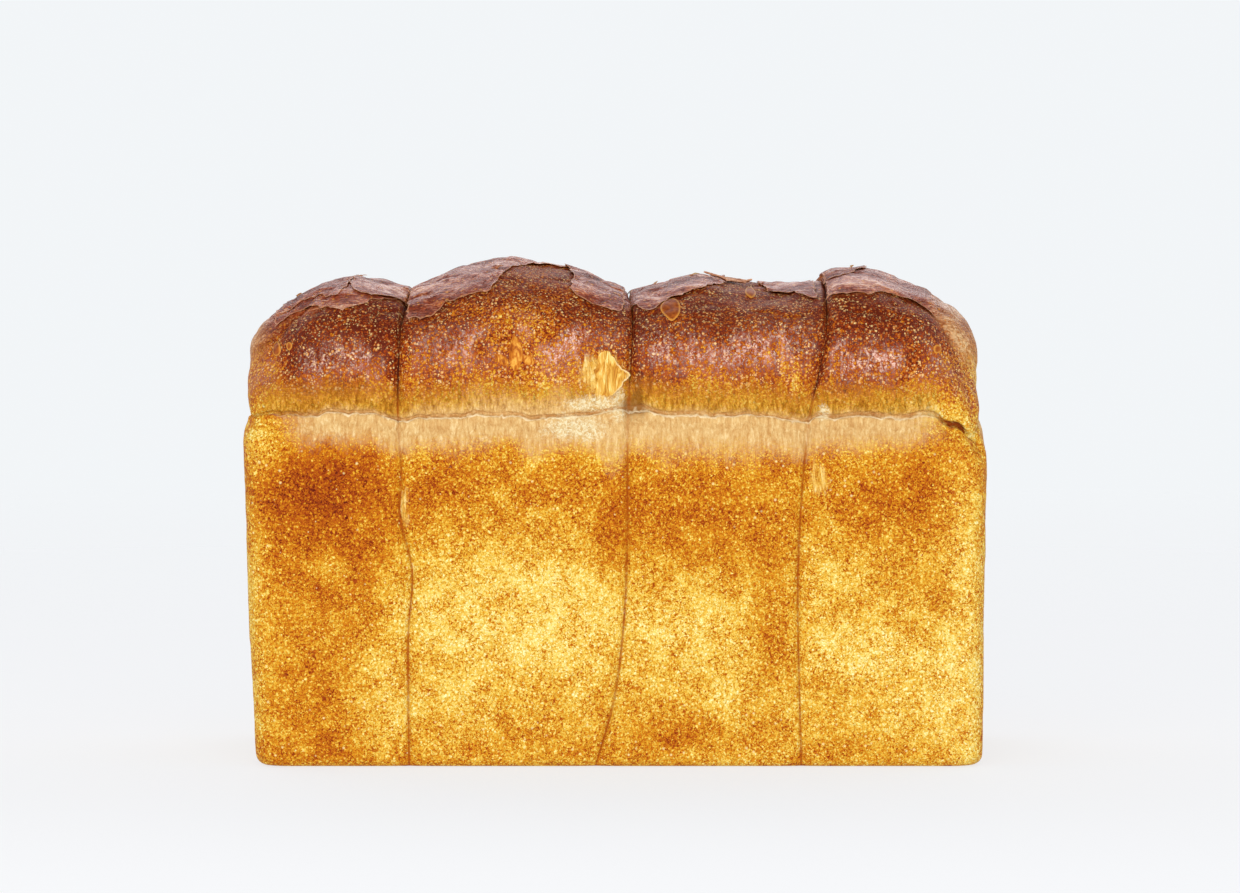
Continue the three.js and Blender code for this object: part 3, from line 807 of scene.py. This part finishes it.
gloss = maths(tree, "MULTIPLY_ADD", painted_sheen_and_gloss, 0.5, times(tree, masks["crown"], 0.05))
gloss = maths(tree, "MULTIPLY_ADD", masks["dry"], dry_gloss, gloss)
gloss = maths(tree, "MULTIPLY_ADD", masks["ends"], 0.1, gloss)
finish(tree, skin, colour, roughness=0.55, shine=0.05, coat=gloss, coat_roughness=0.28)
raised = times(tree, pebble, blend(tree, masks["pale"], 0, 1, -1.6, -0.6))
raised = maths(tree, "MULTIPLY_ADD", dry_height, masks["dry"], raised)
raised = maths(tree, "MULTIPLY_ADD", streaks, maths(tree, "MAXIMUM", masks["pale"], tuck_painted_shade), raised)
add_bump(tree, skin, raised, 0.5 * mm)
bread.data.materials.append(crust)

# The base is one flat face.
select_none("FACE")
for face in bread.data.polygons:
    face.select = face.center.z < 0.001 * mm
bpy.ops.object.mode_set(mode="EDIT")
bpy.ops.mesh.dissolve_faces()
bpy.ops.object.mode_set(mode="OBJECT")

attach(bread, "root")
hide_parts("loaf")

# ---- The skin on the crowns ----
# As the crowns rose, their dried outer skin cracked and came loose in thin sheets with ragged edges. Each
# is an outline cut from a flat disc, divided finely, laid on the bread and given a thickness.

under = BVHTree.FromPolygons([v.co for v in bread.data.vertices], [f.vertices for f in bread.data.polygons])


def touch(start, heading):
    """Where a ray from a point in mm meets the bread, in mm, and the normal there."""
    place, normal = under.ray_cast(Vector(start) * mm, Vector(heading))[:2]
    return (place / mm, normal) if place else (None, None)


def ragged(outline, step, depth, seed):
    """Walks round a closed outline in steps, and moves each point a little at random."""
    corners = np.array(outline, float)
    ends = np.roll(corners, -1, axis=0)
    lengths = np.hypot(*(ends - corners).T)
    count = int(lengths.sum() / step)
    along = np.linspace(0, lengths.sum(), count, endpoint=False)
    starts = np.concatenate([[0], np.cumsum(lengths)])
    i = np.clip(np.searchsorted(starts, along, side="right") - 1, 0, len(corners) - 1)
    points = corners[i] + (ends[i] - corners[i]) * ((along - starts[i]) / lengths[i])[:, None]
    jumps = np.arange(count)
    return points + depth * (np.stack([scatter(jumps, seed, 3), scatter(jumps, seed, 8)], axis=1) - 0.5)


def edge_distance(points, outline):
    """How far each point lies from the outline."""
    start = outline[None]
    run = np.roll(outline, -1, axis=0)[None] - start
    t = np.clip(((points[:, None] - start) * run).sum(axis=2) / (run**2).sum(axis=2), 0, 1)
    return np.sqrt((((start + run * t[..., None]) - points[:, None]) ** 2).sum(axis=2).min(axis=1))


def lay_skin(name, outline, cell, lift, thickness, materials, middle=None):
    """Cuts `outline` from a disc and lays it on the bread: from above, or square to the bread at `middle`.
    `lift` gives each point's height over the bread, from its flat place and its distance to the edge."""
    if middle is None:
        origin, out, right, up = Vector((0, 0, 0)), Vector((0, 0, 1)), Vector((1, 0, 0)), Vector((0, 1, 0))
    else:
        origin, out = middle
        right = Vector((0, 0, 1)).cross(out).normalized()
        up = out.cross(right)
    bpy.ops.object.select_all(action="DESELECT")
    bpy.ops.mesh.primitive_circle_add(vertices=len(outline), radius=1, fill_type="NGON")
    piece = bpy.context.object
    piece.name = name
    flat = np.zeros((len(outline), 3))
    flat[:, :2] = outline
    write_points(piece, flat)
    edit_all(bpy.ops.mesh.normals_make_consistent, inside=False)
    edit_all(bpy.ops.mesh.quads_convert_to_tris, quad_method="BEAUTY", ngon_method="BEAUTY")
    bpy.ops.object.mode_set(mode="EDIT")
    for axis in (0, 1):
        low, high = outline[:, axis].min(), outline[:, axis].max()
        for cut in np.arange(low + cell / 2, high, cell):
            bpy.ops.mesh.select_all(action="SELECT")
            across = Vector((axis == 0, axis == 1, 0))
            bpy.ops.mesh.bisect(plane_co=across * cut, plane_no=across)
    bpy.ops.object.mode_set(mode="OBJECT")
    flat = read_points(piece)[:, :2]
    from_edge = edge_distance(flat, outline)
    write_mask(piece, "from_edge", from_edge)
    clear_of_bread = 250 if middle is None else 12
    laid = []
    for (a, b), height in zip(flat, lift(flat, from_edge)):
        start = origin + right * a + up * b
        place, normal = touch(start + out * clear_of_bread, -out)
        if place is None:
            place, normal = start, out
        laid.append(place + normal * height)
    laid = np.array(laid)
    write_points(piece, laid * mm)
    write_mask(piece, "ends", tan_and_painted_sheen_share(laid[:, 0]))
    edit_all(bpy.ops.mesh.remove_doubles, threshold=0.02 * mm)
    if sum(face.normal.dot(out) for face in piece.data.polygons) < 0:
        edit_all(bpy.ops.mesh.flip_normals)
    solid = piece.modifiers.new("thickness", "SOLIDIFY")
    solid.thickness = thickness * mm
    solid.offset = 1
    solid.material_offset_rim = 1
    bpy.ops.object.modifier_apply(modifier="thickness")
    bpy.ops.object.shade_smooth_by_angle(angle=math.radians(50))
    for material in materials:
        piece.data.materials.append(material)
    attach(piece, "root")


dry_skin, tree, skin, place = new_material("dry skin")
colour, height, gloss = dry_skin_colour(tree, place)
rim = blend(tree, offset(tree, height, 0.6, read_mask(tree, "from_edge")), 0.3, 0.1, 0, 0.7)
colour = mix_colour(tree, rim, colour, tone(214, 150, 106))
finish(tree, skin, colour, coat=gloss, coat_roughness=0.25)
add_bump(tree, skin, height, 0.9 * mm)

torn_edge, tree, skin, place = new_material("torn edge of the skin")
colour = colour_ramp(tree, cloud(tree, place, 900, 3), (0.35, 150, 88, 44), (0.65, 222, 170, 110))
finish(tree, skin, colour, roughness=0.6, shine=0.3)

# Each sheet runs over its crown from one ragged edge at the front, given as [x, z], to one like it behind.
# With it go how high it lies over the bread and how far its edges curl.
SHEETS = (
    (((-114, 146.5), (-111.3, 149.5), (-109, 151.2), (-105.5, 152.8), (-97.8, 153.2), (-91, 152.8),
      (-85, 155), (-80.6, 156.4), (-75, 156.5), (-71, 155.8)), 0.1, 0.5),
    (((-112, 151.5), (-106, 155.5), (-101, 157), (-97, 157), (-93.5, 157), (-92.2, 158.5),
      (-90, 161.5)), 0.4, 0.6),
    (((-89.5, 161.8), (-88.7, 160), (-85.7, 158.4), (-81.4, 157.2), (-77.6, 157), (-73, 156.2),
      (-70.5, 155.4)), 0.45, 0.7),
    (((-69, 149.5), (-63.9, 149.5), (-60.8, 151), (-56.7, 155.5), (-52.6, 156.5), (-49, 158),
      (-45.3, 158.8), (-41.2, 159.6), (-40, 162), (-38.4, 165), (-35, 167.3), (-30, 168.6), (-24, 168.8),
      (-19, 167.8), (-14.5, 167.5)), 0.15, 0.8),
    (((-17.4, 169.2), (-15.3, 166.7), (-14, 163.3), (-14.6, 160), (-13.1, 157.9), (-9.6, 155.8),
      (-5.5, 154.2), (-2, 152.6), (0.5, 152), (3, 153)), 0.5, 0.5),
    (((6, 152.6), (10.6, 152.5), (13.3, 153), (18.6, 156.4), (22.8, 157.4), (24.6, 158.6), (27.3, 159.7),
      (31, 160.6), (34.5, 161.5), (38.5, 162.2)), 0.15, 0.7),
    (((50, 162.2), (51.7, 160), (54, 158.7), (56.2, 158.5), (60.7, 158.7), (64, 158.1), (66.6, 156.9),
      (68.5, 156.5)), 0.15, 0.6),
    (((72.6, 156.8), (76.7, 157.8), (79.1, 158), (82.7, 158.8), (84.3, 158.2), (86.6, 158), (88.6, 159),
      (94, 158.4), (99, 156.5), (104, 153.5), (109, 149)), 0.15, 0.6),
    (((71.5, 161.5), (73.5, 163), (76, 164), (79, 164.6), (82, 165.4), (85, 166.6), (87, 167)), 0.5, 0.5),
)
SHEET_CELL = 1.5
SHEET_THICKNESS = 0.12


def lifted(seed, rise, curl):
    """Skin that lies close on the bread, with soft puckers, and stands up at its edges here and there."""

    def height(flat, edge):
        spot = np.stack([flat[:, 0], flat[:, 1], 0 * edge + 40 * seed], axis=1)
        puckers = 0.4 * winding_lines(spot, (16, 8, 9), 7) + 0.1 * (1 + noise(spot, 4))
        stands = np.clip(0.25 + noise(spot, 11), 0, 1.2)
        return rise + puckers + curl * stands * np.exp(-edge / 2.0)

    return height


def on_crown(side, x, z):
    """Where the front (side -1) or back (side 1) of the crowns is at x and z, or just under z."""
    place = None
    while place is None:
        place = touch((x, side * 200, z), (0, -side, 0))[0]
        z -= 0.4
    return place.x, place.y


for k, (front_edge, rise, curl) in enumerate(SHEETS):
    seed = k + 1
    fore = [on_crown(-1, x, z) for x, z in front_edge]
    back = [on_crown(1, x, z + 3 * scatter(i, seed, 2) - 3) for i, (x, z) in enumerate(front_edge)]
    outline = ragged(fore + back[::-1], step=1.6, depth=1.0, seed=seed)
    lift = lifted(seed, rise, curl)
    lay_skin(f"crown_skin_{seed}", outline, SHEET_CELL, lift, SHEET_THICKNESS, (dry_skin, torn_edge))

# ---- The blisters ----
# Thin brown domes of skin over bubbles near the crests, with golden rims. Each is a disc of skin laid on
# the bread square to its wall and raised in the middle.

FRONT = (Vector((0, -60, 0)), Vector((0, -1, 0)))
BACK = (Vector((0, 60, 0)), Vector((0, 1, 0)))
BLISTERS = (  # [side, x, z, half width, half height, rise, how far the bottom runs to a point]
    (FRONT, 19.1, 153.6, 3.3, 3.3, 0.6, 0.3), (FRONT, 46.4, 159.2, 1.8, 1.7, 0.4, 0.35),
    (FRONT, -113, 140, 1.5, 2.4, 0.5, 0), (FRONT, 108, 140, 1.4, 1.4, 0.3, 0),
    (FRONT, -108.5, 141, 1, 1.3, 0.3, 0), (BACK, -40, 152, 2.6, 2.8, 0.5, 0.2),
    (BACK, 88, 148, 1.8, 1.8, 0.4, 0.1),
)
FILM_CELL = 0.6
FILM_THICKNESS = 0.1

blister_skin, tree, skin, place = new_material("blister skin")
film = colour_ramp(tree, cloud(tree, place, 700, 3), (0.35, 122, 52, 16), (0.65, 162, 84, 28))
from_edge = offset(tree, cloud(tree, place, 900), 0.5, read_mask(tree, "from_edge"))
rim = blend(tree, from_edge, 0.6, 0.2, 0, 0.75)
colour = mix_colour(tree, rim, film, tone(208, 142, 56))
finish(tree, skin, colour)


def domed(rise):
    """Skin that rises quickly from its edge to a flat dome."""

    def height(flat, edge):
        return 0.06 + rise * (1 - np.exp(-edge / 0.7))

    return height


turn = np.linspace(0, 2 * math.pi, 30, endpoint=False)
for k, (side, x, z, wide, high, rise, point) in enumerate(BLISTERS):
    wobble = 1 + 0.05 * np.sin(3 * turn + k)
    pointed = 1 + point * bell(turn, math.pi, 0.45)
    outline = np.stack([wide * np.sin(turn), high * pointed * np.cos(turn)], axis=1)
    outline = outline * wobble[:, None] + (x, z)
    skins = (blister_skin, torn_edge)
    lay_skin(f"blister_{k + 1}", outline, FILM_CELL, domed(rise), FILM_THICKNESS, skins, side)

# ---- The golden leaf ----
# A leaf-shaped puff of smooth orange skin with two small lobes, low on the second crown. Each part is an
# outline of skin laid on the bread and raised in the middle.

LEAVES = (  # [x, z] round each part
    ((-33.1, 145), (-31.6, 142.5), (-30.4, 139.5), (-30.5, 136.5), (-31.6, 133.6), (-33.2, 132.6),
     (-34.5, 134.4), (-35, 137.4), (-34.9, 140.4), (-34.3, 143)),
    ((-40, 138.2), (-37.6, 138.4), (-35.6, 136.8), (-34.8, 134.8), (-36.6, 134.4), (-39, 136)),
    ((-30.2, 138), (-28, 138), (-26.2, 136.4), (-26.6, 134.8), (-28.8, 134.6), (-30.2, 135.8)),
)
LEAF_RISE = 0.45

leaf_skin, tree, skin, place = new_material("orange skin")
grain = cloud(tree, stretch(tree, place, (1, 1, 0.4)), 700, 3, 0.6, 1.0)
film = colour_ramp(tree, grain, (0.35, 140, 66, 12), (0.5, 188, 108, 24), (0.66, 224, 164, 66))
rim = blend(tree, read_mask(tree, "from_edge"), 0.45, 0.15, 0, 0.5)
colour = mix_colour(tree, rim, film, tone(178, 92, 20))
finish(tree, skin, colour)

for k, corners in enumerate(LEAVES):
    outline = ragged(corners, step=0.8, depth=0.2, seed=60 + k)
    skins = (leaf_skin, leaf_skin)
    lay_skin(f"leaf_{k + 1}", outline, FILM_CELL, domed(LEAF_RISE), FILM_THICKNESS, skins, FRONT)

# ---- The stretched skin ----
# A golden sheet of skin pulled thin over the second seam, torn free along its right side. It is an outline
# of skin laid on the bread, with the torn side standing off.

PULLED = (
    (-3.5, 139.5), (-1.6, 139.6), (1.3, 135), (4.8, 131.6), (3, 129), (1.2, 126.4), (-1.3, 124.3),
    (-4.4, 124.6), (-6.6, 126), (-5.2, 129.5), (-6.8, 132.5), (-5.2, 135), (-5.6, 137.5),
)
PULLED_CELL = 0.8

pulled_skin, tree, skin, place = new_material("stretched skin")
strands = cloud(tree, stretch(tree, place, (1, 1, 0.18), (0, 0.25, 0)), 800, 3, 0.65, 1.2)
film = colour_ramp(
    tree, strands, (0.3, 160, 94, 22), (0.43, 198, 136, 44), (0.55, 222, 174, 78), (0.7, 248, 222, 150),
)
along = add_node(tree, "ShaderNodeSeparateXYZ", {"Vector": place}).outputs["X"]
rim = times(
    tree, blend(tree, offset(tree, strands, 1.4, read_mask(tree, "from_edge")), 0.4, 0.1),
    blend(tree, along, -2 * mm, 2 * mm, 0, 0.7),
)
colour = mix_colour(tree, rim, film, tone(246, 224, 168))
finish(tree, skin, colour)
add_bump(tree, skin, strands, 0.6 * mm)


def torn_free(flat, edge):
    """Skin that lies close on the left and stands off along its right edge."""
    return 0.04 + 1.0 * smooth(flat[:, 0], -4, 3) * np.exp(-edge / 1.6)


outline = ragged(PULLED, step=0.9, depth=0.7, seed=71)
skins = (pulled_skin, pulled_skin)
lay_skin("stretched_skin", outline, PULLED_CELL, torn_free, FILM_THICKNESS, skins, FRONT)

# ---- The flap on the third crown ----
# A curled strip of pale pinkish skin that lies along the crest with its tip standing up. It is an outline
# of skin laid on the bread from above, lifted towards its tip.

FLAP = (
    (31, -10), (34, -12.5), (38, -12), (41, -14.5), (45, -13), (48, -13.5), (46, -10), (42.5, -9), (39, -6),
    (35, -7.5),
)
FLAP_CELL = 0.9
FLAP_THICKNESS = 0.5

flap_skin, tree, skin, place = new_material("pale loose skin")
colour = colour_ramp(tree, cloud(tree, place, 500, 3), (0.35, 150, 88, 56), (0.65, 216, 166, 132))
finish(tree, skin, colour, roughness=0.55, shine=0.15)


def tip_up(flat, edge):
    """Skin that leaves the bread towards its +X tip."""
    return 0.4 + 1.7 * smooth(flat[:, 0], 38, 47.5) ** 2 + 0.5 * np.exp(-edge / 0.8)


outline = ragged(FLAP, step=1.0, depth=0.9, seed=81)
lay_skin("crest_flap", outline, FLAP_CELL, tip_up, FLAP_THICKNESS, (flap_skin, flap_skin))

# ---- The flakes ----
# Small dark scales of dried skin that stand off the crests. Each is a pointed oval of skin laid on the
# bread from above and lifted towards one end.

FLAKES = (  # [x, y, length, width, turn in degrees, how far the tip stands off]
    (-88.5, -7, 4.6, 2.4, 15, 1.6), (-107.6, -9, 3.2, 2.0, 130, 1.3), (-113.4, -4, 3.0, 2.2, 160, 1.3),
    (27, -14, 4.2, 2.2, 5, 0.7), (51, -6, 3.4, 1.8, -20, 1.2), (-39.8, -28, 3.2, 1.8, 20, 1.2),
    (-60, 20, 4.2, 2.5, 70, 1.3), (-15, 27, 5, 3, 120, 1.4), (14, 15, 4, 2, 30, 1.2),
    (56, 24, 4.2, 2.6, 80, 1.4), (91, 17, 5, 2.6, 15, 1.5), (82, -5, 3, 2, 45, 1.2),
    (-97, 25, 4.2, 2.6, 100, 1.4),
)
FLAKE_CELL = 0.7
FLAKE_THICKNESS = 0.14

for k, (x, y, long, wide, turn, rise) in enumerate(FLAKES):
    around = np.linspace(0, 2 * math.pi, 16, endpoint=False)
    oval = np.stack([long / 2 * np.cos(around), wide / 2 * np.sin(around)], axis=1)
    ahead = np.array([math.cos(math.radians(turn)), math.sin(math.radians(turn))])
    outline = oval @ np.array([ahead, [-ahead[1], ahead[0]]]) + (x, y)

    def tipped(flat, edge):
        return 0.25 + rise * smooth((flat - (x, y)) @ ahead, -long / 2, long / 2) ** 1.5

    outline = ragged(outline, step=0.8, depth=1.1, seed=90 + k)
    lay_skin(f"flake_{k + 1}", outline, FLAKE_CELL, tipped, FLAKE_THICKNESS, (crust, torn_edge))
